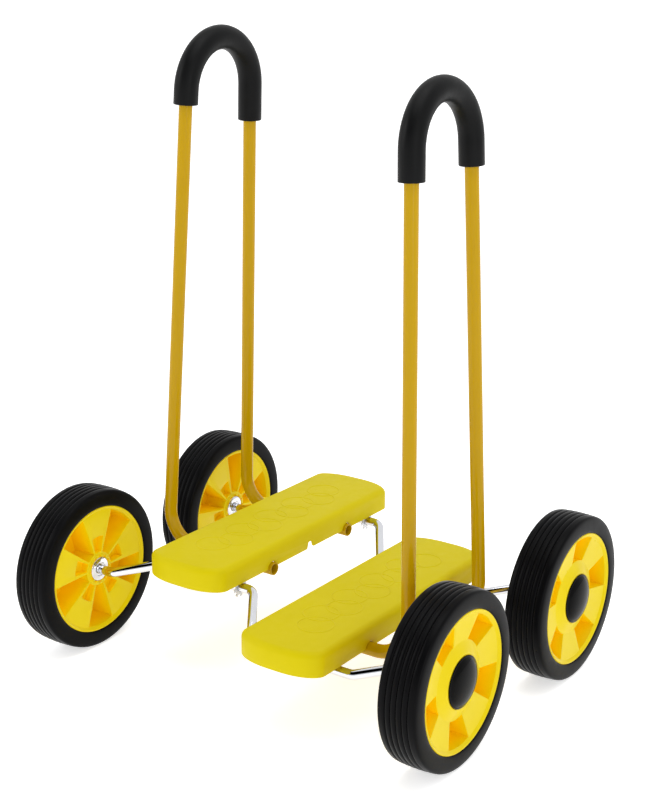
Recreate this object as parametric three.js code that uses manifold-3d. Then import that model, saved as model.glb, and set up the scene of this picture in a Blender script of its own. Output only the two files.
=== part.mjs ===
// Pedal walker for children: two foot boards hang on two double-crank axles with four fixed wheels,
// and each board carries an upright hand bar. Pedalling the boards up and down rolls it along.
// Millimetres, +Z up, +Y the way it travels, +X the rider's right.
// Origin: on the floor under the middle of the wheelbase.

import * as THREE from "three";
import { mergeVertices } from "three/addons/utils/BufferGeometryUtils.js";
import Module from "manifold-3d";

const wasm = await Module();
wasm.setup();

// ---------------------------------------------------------------- driving dimensions

const GAP = 0.3; // clearance between touching pieces

const WHEEL = {
  radius: 95,
  base: 252.4,
  middle: 244, // from the centre plane to the wheel's mid plane
  facets: 32,
};

const RIM = {
  lipRadius: 75,
  seatRadius: 72,
  boreRadius: 69.5, // inside of the barrel
  halfWidth: 22.2,
  lipThickness: 2.2,
  hubRadius: 17,
  capSeatRadius: 28.6,
  coneRadius: 40,
  webThickness: 3,
  wallThickness: 2.6,
  sectors: 5, // pockets on each side of the web, stepping with those of the other side
  chamfer: 3.4, // how far the barrel opens out towards each lip
  innerRecess: 3, // the web's inner side, from the inner lip
  outerRecess: 8, // the web's outer side at the cone, from the outer lip
  capRecess: 2.5, // top of the cone, from the outer lip
  nutRecess: 10, // floor of the nut's well, from the outer lip
  nutWellRadius: 18.5,
};

// How far each wheel's spokes are turned on its axle, in degrees.
const SPOKE_TURN = { front_left: 7.4, front_right: 28, rear_left: 36, rear_right: -3 };

const WASHER = { radius: 13.5, faceRadius: 9.5, shoulder: 1.6, thickness: 2.6, facets: 18 };
const NUT = { cornerRadius: 9.2, thickness: 5, sides: 6 };

// Hub cap: heights of the dome above its rim, at a few radii.
const CAP = { sideClearance: 0.8, dome: [[0, 7.8], [9, 7.3], [18, 5.6], [25, 3.2]], lip: 3, facets: 24 };
const CAP_INSIDE = [[17, 2.6], [0, 3.6]];

const TYRE = {
  treadHalf: 13,
  shoulderRadius: 91.5, // where the shoulder turns into the sidewall
  shoulderHalf: 19.8,
  sidewallRadius: 83,
  sidewallHalf: 23,
};

const ROD = {
  radius: 5.5,
  bend: 15, // centre-line radius of each bend
  end: 260, // how far the rod reaches from the centre plane
};

const CRANK = {
  radius: 30.5,
  restAngle: THREE.MathUtils.degToRad(31), // left pins this far above the forward direction
  hubCorner: 204, // |x| of the corner next to the wheel
  outerPinCorner: 149,
  innerPinCorner: 18,
};

const BOARD = {
  middle: 83.7, // from the centre plane to the middle of a board
  width: 104.6,
  length: 354,
  height: 26.5,
  wall: 3,
  edge: 8,
  cornerAcross: 44,
  cornerAlong: 21,
  topAbovePin: 33.5,
};

const RIB = {
  thickness: 2.4,
  bottom: -12, // lower edge, from the board's top
  lengthwise: [-24, 24],
  crosswise: [-160, -40, 0, 40, 160],
};

// Notch in the middle of the inner skirt: half widths at its mouth and at its top, and its height.
const NOTCH = { mouth: 7, top: 3.5, height: 8, depth: 10 };

const TUBE = {
  radius: 7.5,
  wall: 1.5,
  halfSpacingLow: 74.1, // between leg and middle, at the height of the run under the board
  halfSpacingTop: 56.8,
  outLow: 99.5, // from the board's middle to the leg, at the same height
  outTop: 77.9,
  belowTop: 27.4, // from the board's top down to the run under it
  archAbove: 495, // from the board's top up to the arch centre
  lowBend: 38,
  endBeyond: 3, // how far the open ends stand out past the inner skirt
};

const GRIP = {
  radius: 13.7,
  past: 28, // how far it runs down each leg when centred on the arch
  leftShift: 13.5, // each grip was slid on by hand and sits a little off centre
  rightShift: 1.5,
};

const CLIP = { teeth: 8, tipRadius: 11.5, rootRadius: 8.4, thickness: 1.2, fromEdge: 6 };
const SCREW = { head: 4, headHeight: 2.4, shank: 1.9, length: 11 };

const FOOT = {
  plane: -21, // underside of the bosses, from the board's top
  bossRadius: 5.2,
  strapThickness: 1.6,
};

// ---------------------------------------------------------------- finishes

const finish = (name, color, roughness, metalness) =>
  new THREE.MeshStandardMaterial({ name, color, roughness, metalness });

const FINISH = {
  board: finish("board_yellow", 0xe2d41f, 0.45, 0),
  rim: finish("rim_yellow", 0xf0c400, 0.4, 0),
  tube: finish("golden_powder_coat", 0xd9a800, 0.35, 0.1),
  black: finish("black_foam", 0x151515, 0.8, 0),
  tyre: finish("tyre_rubber", 0x171717, 0.6, 0),
  cap: finish("gloss_black", 0x0c0c0e, 0.15, 0),
  chrome: finish("chrome", 0xd8dade, 0.12, 1),
  steel: finish("zinc_steel", 0xb4b6ba, 0.35, 1),
  nylon: finish("nylon", 0x1d1d1f, 0.55, 0),
};

// ---------------------------------------------------------------- solids and meshes

// A geometry with merged corners, no flat triangles and its faces pointing out.
function closedGeometry(geometry) {
  const bare = geometry.clone();
  bare.deleteAttribute("normal");
  bare.deleteAttribute("uv");
  const merged = mergeVertices(bare, 1e-4);
  const index = merged.index.array;
  const position = merged.attributes.position;
  const corner = [new THREE.Vector3(), new THREE.Vector3(), new THREE.Vector3()];
  const kept = [];
  let volume = 0;
  for (let i = 0; i < index.length; i += 3) {
    const [a, b, c] = index.subarray(i, i + 3);
    if (a === b || b === c || c === a) continue;
    kept.push(a, b, c);
    corner.forEach((point, n) => point.fromBufferAttribute(position, index[i + n]));
    volume += corner[0].dot(corner[1].cross(corner[2]));
  }
  if (volume < 0) kept.reverse();
  merged.setIndex(kept);
  return merged;
}

function toSolid(geometry) {
  const closed = closedGeometry(geometry);
  return new wasm.Manifold(new wasm.Mesh({
    numProp: 3,
    vertProperties: new Float32Array(closed.attributes.position.array),
    triVerts: new Uint32Array(closed.index.array),
  }));
}

function toGeometry(solid) {
  const mesh = solid.getMesh();
  const geometry = new THREE.BufferGeometry();
  geometry.setAttribute("position", new THREE.BufferAttribute(mesh.vertProperties, 3));
  geometry.setIndex(new THREE.BufferAttribute(mesh.triVerts, 1));
  return geometry;
}

function piece(name, geometry, material) {
  const closed = closedGeometry(geometry);
  closed.computeVertexNormals();
  const mesh = new THREE.Mesh(closed, material);
  mesh.name = name;
  return mesh;
}

// A solid of revolution about X, from [radius, x] pairs, with a flat facet at the bottom.
function turned(profile, facets) {
  const points = profile.map(([radius, x]) => new THREE.Vector2(radius, x));
  const lathe = new THREE.LatheGeometry(points, facets, Math.PI / facets);
  return lathe.rotateZ(-Math.PI / 2);
}

function block(width, depth, height, x, y, z) {
  return new THREE.BoxGeometry(width, depth, height).translate(x, y, z);
}

// A cylinder along X.
function barAlongX(radius, length, facets, x, y, z) {
  const bar = new THREE.CylinderGeometry(radius, radius, length, facets);
  return bar.rotateZ(Math.PI / 2).translate(x, y, z);
}

// A cylinder along Z from low to high.
function barAlongZ(radius, low, high, facets, x, y) {
  const bar = new THREE.CylinderGeometry(radius, radius, high - low, facets);
  return bar.rotateX(Math.PI / 2).translate(x, y, (low + high) / 2);
}

// The centre line of a bent bar: straight runs joined by round bends, with a station only where it turns.
class BentLine extends THREE.Curve {
  constructor(corners, bendRadii, turnStep = THREE.MathUtils.degToRad(15)) {
    super();
    this.stations = [{ at: corners[0], along: corners[1].clone().sub(corners[0]).normalize() }];
    for (let i = 1; i < corners.length - 1; i += 1) {
      this.addBend(corners[i - 1], corners[i], corners[i + 1], bendRadii[i - 1], turnStep);
    }
    const last = corners.at(-1);
    this.stations.push({ at: last, along: last.clone().sub(corners.at(-2)).normalize() });
  }

  addBend(before, corner, after, radius, turnStep) {
    const into = corner.clone().sub(before).normalize();
    const out = after.clone().sub(corner).normalize();
    const turn = into.angleTo(out);
    const start = corner.clone().addScaledVector(into, -radius * Math.tan(turn / 2));
    const side = out.clone().addScaledVector(into, -out.dot(into)).normalize();
    const steps = Math.max(2, Math.ceil(turn / turnStep));
    for (let n = 0; n <= steps; n += 1) {
      const angle = (turn * n) / steps;
      const at = start.clone().addScaledVector(into, radius * Math.sin(angle));
      at.addScaledVector(side, radius * (1 - Math.cos(angle)));
      const along = into.clone().multiplyScalar(Math.cos(angle)).addScaledVector(side, Math.sin(angle));
      this.stations.push({ at, along });
    }
  }

  get steps() {
    return this.stations.length - 1;
  }

  station(u) {
    return this.stations[Math.round(u * this.steps)];
  }

  getPointAt(u) {
    return this.station(u).at.clone();
  }

  getTangentAt(u) {
    return this.station(u).along.clone();
  }
}

// A round section with `facets` sides, hollow where an inner radius is given.
function roundSection(radius, innerRadius = 0) {
  const section = new THREE.Shape().absarc(0, 0, radius, 0, 2 * Math.PI);
  if (innerRadius > 0) section.holes.push(new THREE.Path().absarc(0, 0, innerRadius, 0, 2 * Math.PI, true));
  return section;
}

// curveSegments counts half the sides of a full circle.
function swept(section, line, sides) {
  return new THREE.ExtrudeGeometry(section, {
    steps: line.steps,
    extrudePath: line,
    bevelEnabled: false,
    curveSegments: sides / 2,
  });
}

// ---------------------------------------------------------------- wheel

// A pocket between two spokes: an annular sector whose sides keep half a wall from the sector's edges.
function pocket(middleAngle, innerRadius, outerRadius, low, high) {
  const half = Math.PI / (2 * RIM.sectors);
  const keep = RIM.wallThickness / 2;
  const inner = half - keep / innerRadius;
  const outer = half - keep / outerRadius;
  const shape = new THREE.Shape();
  shape.absarc(0, 0, outerRadius, middleAngle - outer, middleAngle + outer, false);
  shape.absarc(0, 0, innerRadius, middleAngle + inner, middleAngle - inner, true);
  const settings = { depth: high - low, bevelEnabled: false, curveSegments: 2 };
  const prism = new THREE.ExtrudeGeometry(shape, settings);
  return prism.translate(0, 0, low).rotateY(Math.PI / 2);
}

// Moulded rim: barrel with two lips, conical hub, and a web that steps between its inner and outer side.
function rimGeometry(spokeTurn) {
  const { lipRadius, seatRadius, boreRadius, halfWidth, lipThickness, chamfer } = RIM;
  const innerFace = -halfWidth + RIM.innerRecess;
  const coneFoot = halfWidth - RIM.outerRecess;
  const coneTop = halfWidth - RIM.capRecess;
  const nutFloor = halfWidth - RIM.nutRecess;
  const bore = ROD.radius + GAP;
  let rim = toSolid(turned([
    [bore, innerFace],
    [boreRadius, innerFace],
    [boreRadius + chamfer, -halfWidth],
    [lipRadius, -halfWidth],
    [lipRadius, -halfWidth + lipThickness],
    [seatRadius, -halfWidth + lipThickness],
    [seatRadius, halfWidth - lipThickness],
    [lipRadius, halfWidth - lipThickness],
    [lipRadius, halfWidth],
    [boreRadius + chamfer, halfWidth],
    [boreRadius, coneFoot + 1],
    [RIM.coneRadius, coneFoot],
    [RIM.capSeatRadius, coneTop],
    [RIM.nutWellRadius, coneTop],
    [RIM.nutWellRadius, nutFloor],
    [bore, nutFloor],
    [bore, innerFace],
  ], WHEEL.facets));
  const outerFloor = innerFace + RIM.webThickness;
  const innerCeiling = coneFoot - RIM.webThickness;
  const reach = boreRadius - 1;
  for (let n = 0; n < RIM.sectors; n += 1) {
    const angle = (n * 2 * Math.PI) / RIM.sectors + THREE.MathUtils.degToRad(spokeTurn);
    const between = angle + Math.PI / RIM.sectors;
    const outerPocket = pocket(angle, RIM.coneRadius - 4, reach, outerFloor, halfWidth + 1);
    const innerPocket = pocket(between, RIM.hubRadius + 3, reach, -halfWidth - 1, innerCeiling);
    rim = rim.subtract(toSolid(outerPocket)).subtract(toSolid(innerPocket));
  }
  return toGeometry(rim);
}

// Tyre: rounded shoulders, bulging sidewalls, and beads that sit between the rim's lips.
function tyreGeometry() {
  const tread = WHEEL.radius / Math.cos(Math.PI / WHEEL.facets);
  const bead = RIM.halfWidth - RIM.lipThickness - GAP;
  const lipClear = RIM.lipRadius + GAP;
  const half = [
    [RIM.seatRadius + GAP, bead],
    [lipClear, bead],
    [lipClear, RIM.halfWidth + 0.2],
    [TYRE.sidewallRadius, TYRE.sidewallHalf],
    [TYRE.shoulderRadius, TYRE.shoulderHalf],
    [tread, TYRE.treadHalf],
  ];
  const profile = [...half, ...half.map(([r, x]) => [r, -x]).reverse(), half[0]];
  return turned(profile, WHEEL.facets);
}

// Drive washer: keyed ring between the rod's shoulder and the rim's inner side.
function driveWasherGeometry() {
  const seat = -RIM.halfWidth + RIM.innerRecess - GAP;
  const bore = ROD.radius + GAP;
  return turned([
    [bore, seat],
    [WASHER.radius, seat],
    [WASHER.radius, seat - WASHER.shoulder],
    [WASHER.faceRadius, seat - WASHER.thickness],
    [bore, seat - WASHER.thickness],
    [bore, seat],
  ], WASHER.facets);
}

// A closed outline through the corners of a star or a regular polygon, one radius per corner in turn.
function cornerOutline(count, radii) {
  const corners = [];
  for (let n = 0; n < count; n += 1) {
    const angle = (n * 2 * Math.PI) / count;
    corners.push(new THREE.Vector2(Math.cos(angle), Math.sin(angle)).multiplyScalar(radii[n % radii.length]));
  }
  return new THREE.Shape(corners);
}

// A flat plate of that outline with a round hole, standing across the X axis.
function plateAcrossX(outline, holeRadius, thickness, segments) {
  outline.holes.push(new THREE.Path().absarc(0, 0, holeRadius, 0, 2 * Math.PI, true));
  const settings = { depth: thickness, bevelEnabled: false, curveSegments: segments };
  return new THREE.ExtrudeGeometry(outline, settings).rotateY(Math.PI / 2);
}

function axleNutGeometry() {
  const hexagon = cornerOutline(NUT.sides, [NUT.cornerRadius]);
  const nut = plateAcrossX(hexagon, ROD.radius + 2 * GAP, NUT.thickness, 6);
  return nut.translate(RIM.halfWidth - RIM.nutRecess + GAP, 0, 0);
}

// Snap-in dome over the axle nut. Its rim rests on the hub's cone.
function hubCapGeometry() {
  const seat = RIM.halfWidth - RIM.capRecess + GAP;
  const radius = RIM.capSeatRadius - CAP.sideClearance;
  return turned([
    ...CAP.dome.map(([r, height]) => [r, seat + height]),
    [radius, seat],
    [radius - CAP.lip, seat],
    ...CAP_INSIDE.map(([r, height]) => [r, seat + height]),
  ], CAP.facets);
}

const WHEEL_PIECES = [
  ["tyre", tyreGeometry(), FINISH.tyre],
  ["drive_washer", driveWasherGeometry(), FINISH.chrome],
  ["axle_nut", axleNutGeometry(), FINISH.steel],
  ["hub_cap", hubCapGeometry(), FINISH.cap],
];

// side is +1 on the right. A left wheel is a right one turned half way round.
function wheel(prefix, side, y) {
  const group = new THREE.Group();
  group.position.set(side * WHEEL.middle, y, WHEEL.radius);
  if (side < 0) group.rotation.z = Math.PI;
  group.add(piece(`${prefix}_rim`, rimGeometry(SPOKE_TURN[prefix]), FINISH.rim));
  for (const [name, geometry, material] of WHEEL_PIECES) {
    group.add(piece(`${prefix}_${name}`, geometry, material));
  }
  return group;
}

// ---------------------------------------------------------------- crank axle

const pinOffset = new THREE.Vector3(
  0,
  CRANK.radius * Math.cos(CRANK.restAngle),
  CRANK.radius * Math.sin(CRANK.restAngle),
);

// One chromed rod, bent so that its left pin and right pin stand opposite each other.
function crankAxle(name, y) {
  const hub = new THREE.Vector3(0, y, WHEEL.radius);
  const at = (x, side) => hub.clone().addScaledVector(pinOffset, side).setX(x);
  const corners = [
    at(-ROD.end, 0),
    at(-CRANK.hubCorner, 0),
    at(-CRANK.outerPinCorner, 1),
    at(-CRANK.innerPinCorner, 1),
    at(CRANK.innerPinCorner, -1),
    at(CRANK.outerPinCorner, -1),
    at(CRANK.hubCorner, 0),
    at(ROD.end, 0),
  ];
  const line = new BentLine(corners, Array(6).fill(ROD.bend), THREE.MathUtils.degToRad(20));
  return piece(name, swept(roundSection(ROD.radius), line, 10), FINISH.chrome);
}

// ---------------------------------------------------------------- foot board

// The board's outline, drawn `inset` inside its edge: straight sides, elliptical corners, blunt ends.
function boardOutline(inset) {
  const halfWidth = BOARD.width / 2 - inset;
  const halfLength = BOARD.length / 2 - inset;
  const across = BOARD.cornerAcross - inset;
  const along = BOARD.cornerAlong - inset;
  const x = halfWidth - across;
  const y = halfLength - along;
  const shape = new THREE.Shape();
  shape.absellipse(x, y, across, along, 0, Math.PI / 2, false);
  shape.absellipse(-x, y, across, along, Math.PI / 2, Math.PI, false);
  shape.absellipse(-x, -y, across, along, Math.PI, 1.5 * Math.PI, false);
  shape.absellipse(x, -y, across, along, 1.5 * Math.PI, 2 * Math.PI, false);
  return shape;
}

// A slab with a rounded top edge at z = top, reaching below every skirt.
function boardSlab(inset, top, edge) {
  const below = 50;
  const slab = new THREE.ExtrudeGeometry(boardOutline(inset), {
    depth: below - 2 * edge,
    bevelThickness: edge,
    bevelSize: edge,
    bevelOffset: -edge,
    bevelSegments: 2,
    curveSegments: 4,
  });
  return toSolid(slab.translate(0, 0, top - below + edge));
}

// A strap holds the tube up under the board. Its screws stand `screwReach` from its middle.
const STRAP = { innerRadius: TUBE.radius + GAP, x: 10, width: 14, screwReach: 15, footEnd: 20 };

const BEARING = {
  x: -4, // middle, from the board's middle
  length: 44,
  radius: 9.5,
  bore: 6.1,
  screwReach: 16,
  ear: 5, // how far each ear runs past its screw
  earLength: 12,
  earHeight: 4,
};

// Board frame: origin in the middle of its top face, +X towards the other board.
const screwPlaces = [];
for (const end of [-1, 1]) {
  for (const side of [-1, 1]) {
    screwPlaces.push([STRAP.x, end * TUBE.halfSpacingLow + side * STRAP.screwReach, "tube", end, side]);
    screwPlaces.push([BEARING.x, (end * WHEEL.base) / 2 + side * BEARING.screwReach, "bearing", end, side]);
  }
}

function boardGeometry() {
  const { width, length, height, wall, edge } = BOARD;
  const room = 60; // how far the cutting bodies reach past the board
  const intoTop = 1; // how far ribs and bosses run into the board's own thickness
  let board = boardSlab(0, 0, edge);
  board = board.subtract(toSolid(block(width + room, length + room, room, 0, 0, -height - room / 2)));
  board = board.subtract(boardSlab(wall, -wall, wall));
  const ribHeight = intoTop - wall - RIB.bottom;
  const ribMiddle = RIB.bottom + ribHeight / 2;
  for (const x of RIB.lengthwise) {
    board = board.add(toSolid(block(RIB.thickness, length - room, ribHeight, x, 0, ribMiddle)));
  }
  for (const y of RIB.crosswise) {
    const ribWidth = width - 2 * wall + intoTop;
    board = board.add(toSolid(block(ribWidth, RIB.thickness, ribHeight, 0, y, ribMiddle)));
  }
  for (const [x, y] of screwPlaces) {
    const boss = barAlongZ(FOOT.bossRadius, FOOT.plane, intoTop - wall, 8, x, y);
    const hole = barAlongZ(SCREW.shank + GAP, FOOT.plane - 1, FOOT.plane + SCREW.length + 1, 6, x, y);
    board = board.add(toSolid(boss)).subtract(toSolid(hole));
  }
  for (const end of [-1, 1]) {
    const y = end * TUBE.halfSpacingLow;
    const saddle = barAlongX(TUBE.radius + 2 * GAP, width + room, 16, 0, y, -TUBE.belowTop);
    board = board.subtract(toSolid(saddle));
  }
  return toGeometry(board.subtract(toSolid(notchGeometry())));
}

// The body that cuts the notch in the inner skirt.
function notchGeometry() {
  const { mouth, top, height, depth } = NOTCH;
  const below = 2;
  const outline = new THREE.Shape([
    new THREE.Vector2(-mouth, -below),
    new THREE.Vector2(mouth, -below),
    new THREE.Vector2(top, height),
    new THREE.Vector2(-top, height),
  ]);
  const cut = new THREE.ExtrudeGeometry(outline, { depth, bevelEnabled: false });
  cut.rotateX(Math.PI / 2).rotateZ(Math.PI / 2);
  return cut.translate((BOARD.width - depth) / 2, 0, -BOARD.height);
}

// ---------------------------------------------------------------- what hangs under a board

// Pressed steel strap over a round bar: a half ring, two cheeks and two feet.
function strapGeometry() {
  const { innerRadius, width, footEnd } = STRAP;
  const outerRadius = innerRadius + FOOT.strapThickness;
  const footTop = FOOT.plane + TUBE.belowTop - GAP;
  const footBottom = footTop - FOOT.strapThickness;
  const shape = new THREE.Shape();
  shape.moveTo(-footEnd, footTop);
  shape.lineTo(-footEnd, footBottom);
  shape.lineTo(-outerRadius, footBottom);
  shape.absarc(0, 0, outerRadius, Math.PI, 2 * Math.PI, false);
  shape.lineTo(outerRadius, footBottom);
  shape.lineTo(footEnd, footBottom);
  shape.lineTo(footEnd, footTop);
  shape.lineTo(innerRadius, footTop);
  shape.absarc(0, 0, innerRadius, 0, -Math.PI, true);
  shape.lineTo(-innerRadius, footTop);
  const band = new THREE.ExtrudeGeometry(shape, { depth: width, bevelEnabled: false, curveSegments: 8 });
  band.rotateX(Math.PI / 2).rotateZ(Math.PI / 2).translate(-width / 2, 0, 0);
  let strap = toSolid(band);
  for (const side of [-1, 1]) {
    const hole = barAlongZ(SCREW.shank + GAP, footBottom - 1, footTop + 1, 8, 0, side * STRAP.screwReach);
    strap = strap.subtract(toSolid(hole));
  }
  return toGeometry(strap);
}

// Nylon bearing block for one crank pin, with a screw ear on each side.
function bearingGeometry() {
  const { length, radius, bore, screwReach, ear, earLength, earHeight } = BEARING;
  const top = FOOT.plane + BOARD.topAbovePin - GAP;
  let bearing = toSolid(barAlongX(radius, length, 20, 0, 0, 0));
  bearing = bearing.add(toSolid(block(length, 2 * radius, top, 0, 0, top / 2)));
  const earWidth = 2 * (screwReach + ear);
  bearing = bearing.add(toSolid(block(earLength, earWidth, earHeight, 0, 0, top - earHeight / 2)));
  bearing = bearing.subtract(toSolid(barAlongX(bore, length + 2, 12, 0, 0, 0)));
  for (const side of [-1, 1]) {
    const hole = barAlongZ(SCREW.shank + GAP, 0, top + 1, 8, 0, side * screwReach);
    bearing = bearing.subtract(toSolid(hole));
  }
  return toGeometry(bearing);
}

function screwGeometry() {
  const { head, headHeight, shank, length } = SCREW;
  const profile = [[0, 0], [head * 0.8, 0], [head, headHeight * 0.6], [head, headHeight]];
  profile.push([shank, headHeight], [shank, headHeight + length], [0, headHeight + length]);
  return turned(profile, 8).rotateY(-Math.PI / 2);
}

// Star-shaped spring clip that keeps a board in place along its crank pin.
function starClipGeometry() {
  const { teeth, tipRadius, rootRadius, thickness } = CLIP;
  const star = cornerOutline(2 * teeth, [tipRadius, rootRadius]);
  return plateAcrossX(star, ROD.radius + GAP, thickness, 8).translate(-thickness / 2, 0, 0);
}

// ---------------------------------------------------------------- hand bar

// Centre line in the board frame: from one open end under the board, up, over the arch and down again.
function handBarCorners() {
  const start = BOARD.width / 2 + TUBE.endBeyond;
  const low = (end) => new THREE.Vector3(-TUBE.outLow, end * TUBE.halfSpacingLow, -TUBE.belowTop);
  const open = (end) => new THREE.Vector3(start, end * TUBE.halfSpacingLow, -TUBE.belowTop);
  return { low, open };
}

// The arch is a half circle about `centre`, standing in the plane that leans with the legs.
function archFrame() {
  const up = new THREE.Vector3(TUBE.outLow - TUBE.outTop, 0, TUBE.archAbove + TUBE.belowTop).normalize();
  const centre = new THREE.Vector3(-TUBE.outTop, 0, TUBE.archAbove);
  return { up, centre };
}

class HandBarLine extends BentLine {
  constructor() {
    const { low, open } = handBarCorners();
    const { up, centre } = archFrame();
    const shoulder = (end) => centre.clone().setY(end * TUBE.halfSpacingTop);
    super([open(-1), low(-1), shoulder(-1)], [TUBE.lowBend]);
    const rising = this.stations;
    const falling = new BentLine([shoulder(1), low(1), open(1)], [TUBE.lowBend]).stations;
    const arch = archStations(up, centre);
    this.stations = [...rising.slice(0, -1), ...arch, ...falling.slice(1)];
  }
}

// Stations round the half circle, from the leg at -Y to the leg at +Y.
function archStations(up, centre, steps = 10) {
  const back = new THREE.Vector3(0, -1, 0);
  const stations = [];
  for (let n = 0; n <= steps; n += 1) {
    const angle = (Math.PI * n) / steps;
    const at = centre.clone().addScaledVector(back, TUBE.halfSpacingTop * Math.cos(angle));
    at.addScaledVector(up, TUBE.halfSpacingTop * Math.sin(angle));
    const along = back.clone().multiplyScalar(-Math.sin(angle)).addScaledVector(up, Math.cos(angle));
    stations.push({ at, along });
  }
  return stations;
}

// The grip covers the arch and runs a little way down each leg.
class GripLine extends BentLine {
  constructor(shift) {
    const { low } = handBarCorners();
    const { up, centre } = archFrame();
    const down = (end) => {
      const top = centre.clone().setY(end * TUBE.halfSpacingTop);
      return top.addScaledVector(low(end).sub(top).normalize(), GRIP.past + end * shift);
    };
    const first = down(-1);
    const last = down(1);
    super([first, last], []);
    const arch = archStations(up, centre);
    const rising = arch[0].at.clone().sub(first).normalize();
    const falling = last.clone().sub(arch.at(-1).at).normalize();
    this.stations = [{ at: first, along: rising }, ...arch, { at: last, along: falling }];
  }
}

function gripGeometry(shift) {
  return swept(roundSection(GRIP.radius, TUBE.radius + 2 * GAP), new GripLine(shift), 12);
}

// ---------------------------------------------------------------- one side: board, bar and fittings

const SHARED = {
  board: boardGeometry(),
  strap: strapGeometry(),
  bearing: bearingGeometry(),
  screw: screwGeometry(),
  clip: starClipGeometry(),
  tube: swept(roundSection(TUBE.radius, TUBE.radius - TUBE.wall), new HandBarLine(), 10),
  leftGrip: gripGeometry(GRIP.leftShift),
  rightGrip: gripGeometry(GRIP.rightShift),
};

// hand is +1 for the right side. The right side is the left one turned half way round.
function side(prefix, hand) {
  const group = new THREE.Group();
  const top = WHEEL.radius - hand * pinOffset.z + BOARD.topAbovePin;
  group.position.set(hand * BOARD.middle, -hand * pinOffset.y, top);
  if (hand > 0) group.rotation.z = Math.PI;
  const place = (name, geometry, material, x = 0, y = 0, z = 0) => {
    const mesh = piece(`${prefix}_${name}`, geometry, material);
    mesh.position.set(x, y, z);
    group.add(mesh);
  };
  const endName = (end) => (end * -hand > 0 ? "front" : "rear");
  place("foot_board", SHARED.board, FINISH.board);
  place("hand_bar", SHARED.tube, FINISH.tube);
  place("grip", hand > 0 ? SHARED.rightGrip : SHARED.leftGrip, FINISH.black);
  for (const end of [-1, 1]) {
    const legY = end * TUBE.halfSpacingLow;
    const pinY = (end * WHEEL.base) / 2;
    const pinZ = -BOARD.topAbovePin;
    const clipX = BOARD.width / 2 - CLIP.fromEdge;
    place(`${endName(end)}_tube_strap`, SHARED.strap, FINISH.steel, STRAP.x, legY, -TUBE.belowTop);
    place(`${endName(end)}_pin_bearing`, SHARED.bearing, FINISH.nylon, BEARING.x, pinY, pinZ);
    place(`${endName(end)}_star_clip`, SHARED.clip, FINISH.steel, clipX, pinY, pinZ);
  }
  const bearingUnderside = FOOT.plane - GAP - BEARING.earHeight;
  const strapUnderside = FOOT.plane - GAP - FOOT.strapThickness;
  for (const [x, y, kind, end, way] of screwPlaces) {
    const seat = kind === "tube" ? strapUnderside : bearingUnderside;
    const name = `${endName(end)}_${kind}_screw_${way > 0 ? "a" : "b"}`;
    place(name, SHARED.screw, FINISH.steel, x, y, seat - GAP - SCREW.headHeight);
  }
  return group;
}

// ---------------------------------------------------------------- assembly

const walker = new THREE.Group();
walker.add(side("left", -1));
walker.add(side("right", 1));
for (const [end, y] of [["front", WHEEL.base / 2], ["rear", -WHEEL.base / 2]]) {
  walker.add(crankAxle(`${end}_crank_axle`, y));
  walker.add(wheel(`${end}_left`, -1, y));
  walker.add(wheel(`${end}_right`, 1, y));
}

export default walker;
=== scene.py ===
import math

import bmesh
import bpy
from mathutils import Matrix, Vector


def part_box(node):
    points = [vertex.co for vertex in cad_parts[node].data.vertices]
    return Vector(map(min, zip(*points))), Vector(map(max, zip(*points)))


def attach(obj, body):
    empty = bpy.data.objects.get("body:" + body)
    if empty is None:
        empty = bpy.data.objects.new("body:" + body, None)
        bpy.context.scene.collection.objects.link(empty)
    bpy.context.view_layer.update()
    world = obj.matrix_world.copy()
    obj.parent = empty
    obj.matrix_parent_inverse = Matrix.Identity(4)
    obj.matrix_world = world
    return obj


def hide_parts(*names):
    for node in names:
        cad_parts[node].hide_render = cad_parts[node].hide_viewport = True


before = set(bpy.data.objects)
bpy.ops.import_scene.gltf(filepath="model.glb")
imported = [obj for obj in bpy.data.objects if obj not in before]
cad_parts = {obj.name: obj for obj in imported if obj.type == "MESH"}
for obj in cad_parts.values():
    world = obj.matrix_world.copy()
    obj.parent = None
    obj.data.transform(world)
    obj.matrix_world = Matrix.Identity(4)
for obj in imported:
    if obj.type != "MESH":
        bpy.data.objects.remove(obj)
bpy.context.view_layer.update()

# The pedal walker's looks, in metres, +Z up, +X the rider's right, +Y the way it travels.
# A wheel's pieces are shaped once about the X axis with their outer side towards +X, and a board's
# pieces once with the middle of the board's top at the origin and +X towards the other board.

MM = 0.001
ENDS = ("front", "rear")
SIDES = {"left": -1, "right": 1}

# ------------------------------------------------------------------ sizes

GAP = 0.3 * MM

TYRE_STEPS = 144
TREAD_RADIUS = 94.8 * MM
TREAD_HALF = 19.2 * MM
TREAD_CROWN = 1.0 * MM  # how much lower the tread is at its edges
GROOVES = 5
GROOVE_HALF = 0.75 * MM
GROOVE_DEPTH = 1.5 * MM
GROOVE_LIP = 0.4 * MM  # how far a rib's edge rolls into its groove
RIB_RISE = 0.15 * MM  # how much the middle of a rib stands up

RIM_STEPS = 120
SECTORS = 5
LIP_RADIUS = 75 * MM
SEAT_RADIUS = 72 * MM
BARREL_RADIUS = 70.6 * MM
RIM_HALF = 22.1 * MM
LIP_THICKNESS = 2.2 * MM
LIP_FLARE = 2.2 * MM  # how far the barrel opens out towards each lip
INNER_FACE = -19.2 * MM
CONE_FOOT = 14.4 * MM
DISH_RIM = 19.6 * MM  # the web's outer side just inside the lip
POCKET_RADIUS = 70.2 * MM
CONE_TOP = 19.6 * MM
CONE_RADIUS = 41 * MM
OUTER_FLOOR = -16 * MM
INNER_CEILING = 11.2 * MM
HUB_RADIUS = 20 * MM
RECESS_RADIUS = 39.5 * MM  # outer end of the recesses near the hub
RECESS_DEPTH = 9 * MM
RING_INSIDE = 14.2 * MM  # notched ring round the drive washer
RING_OUTSIDE = 17.4 * MM
RING_HEIGHT = 1.9 * MM
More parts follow.
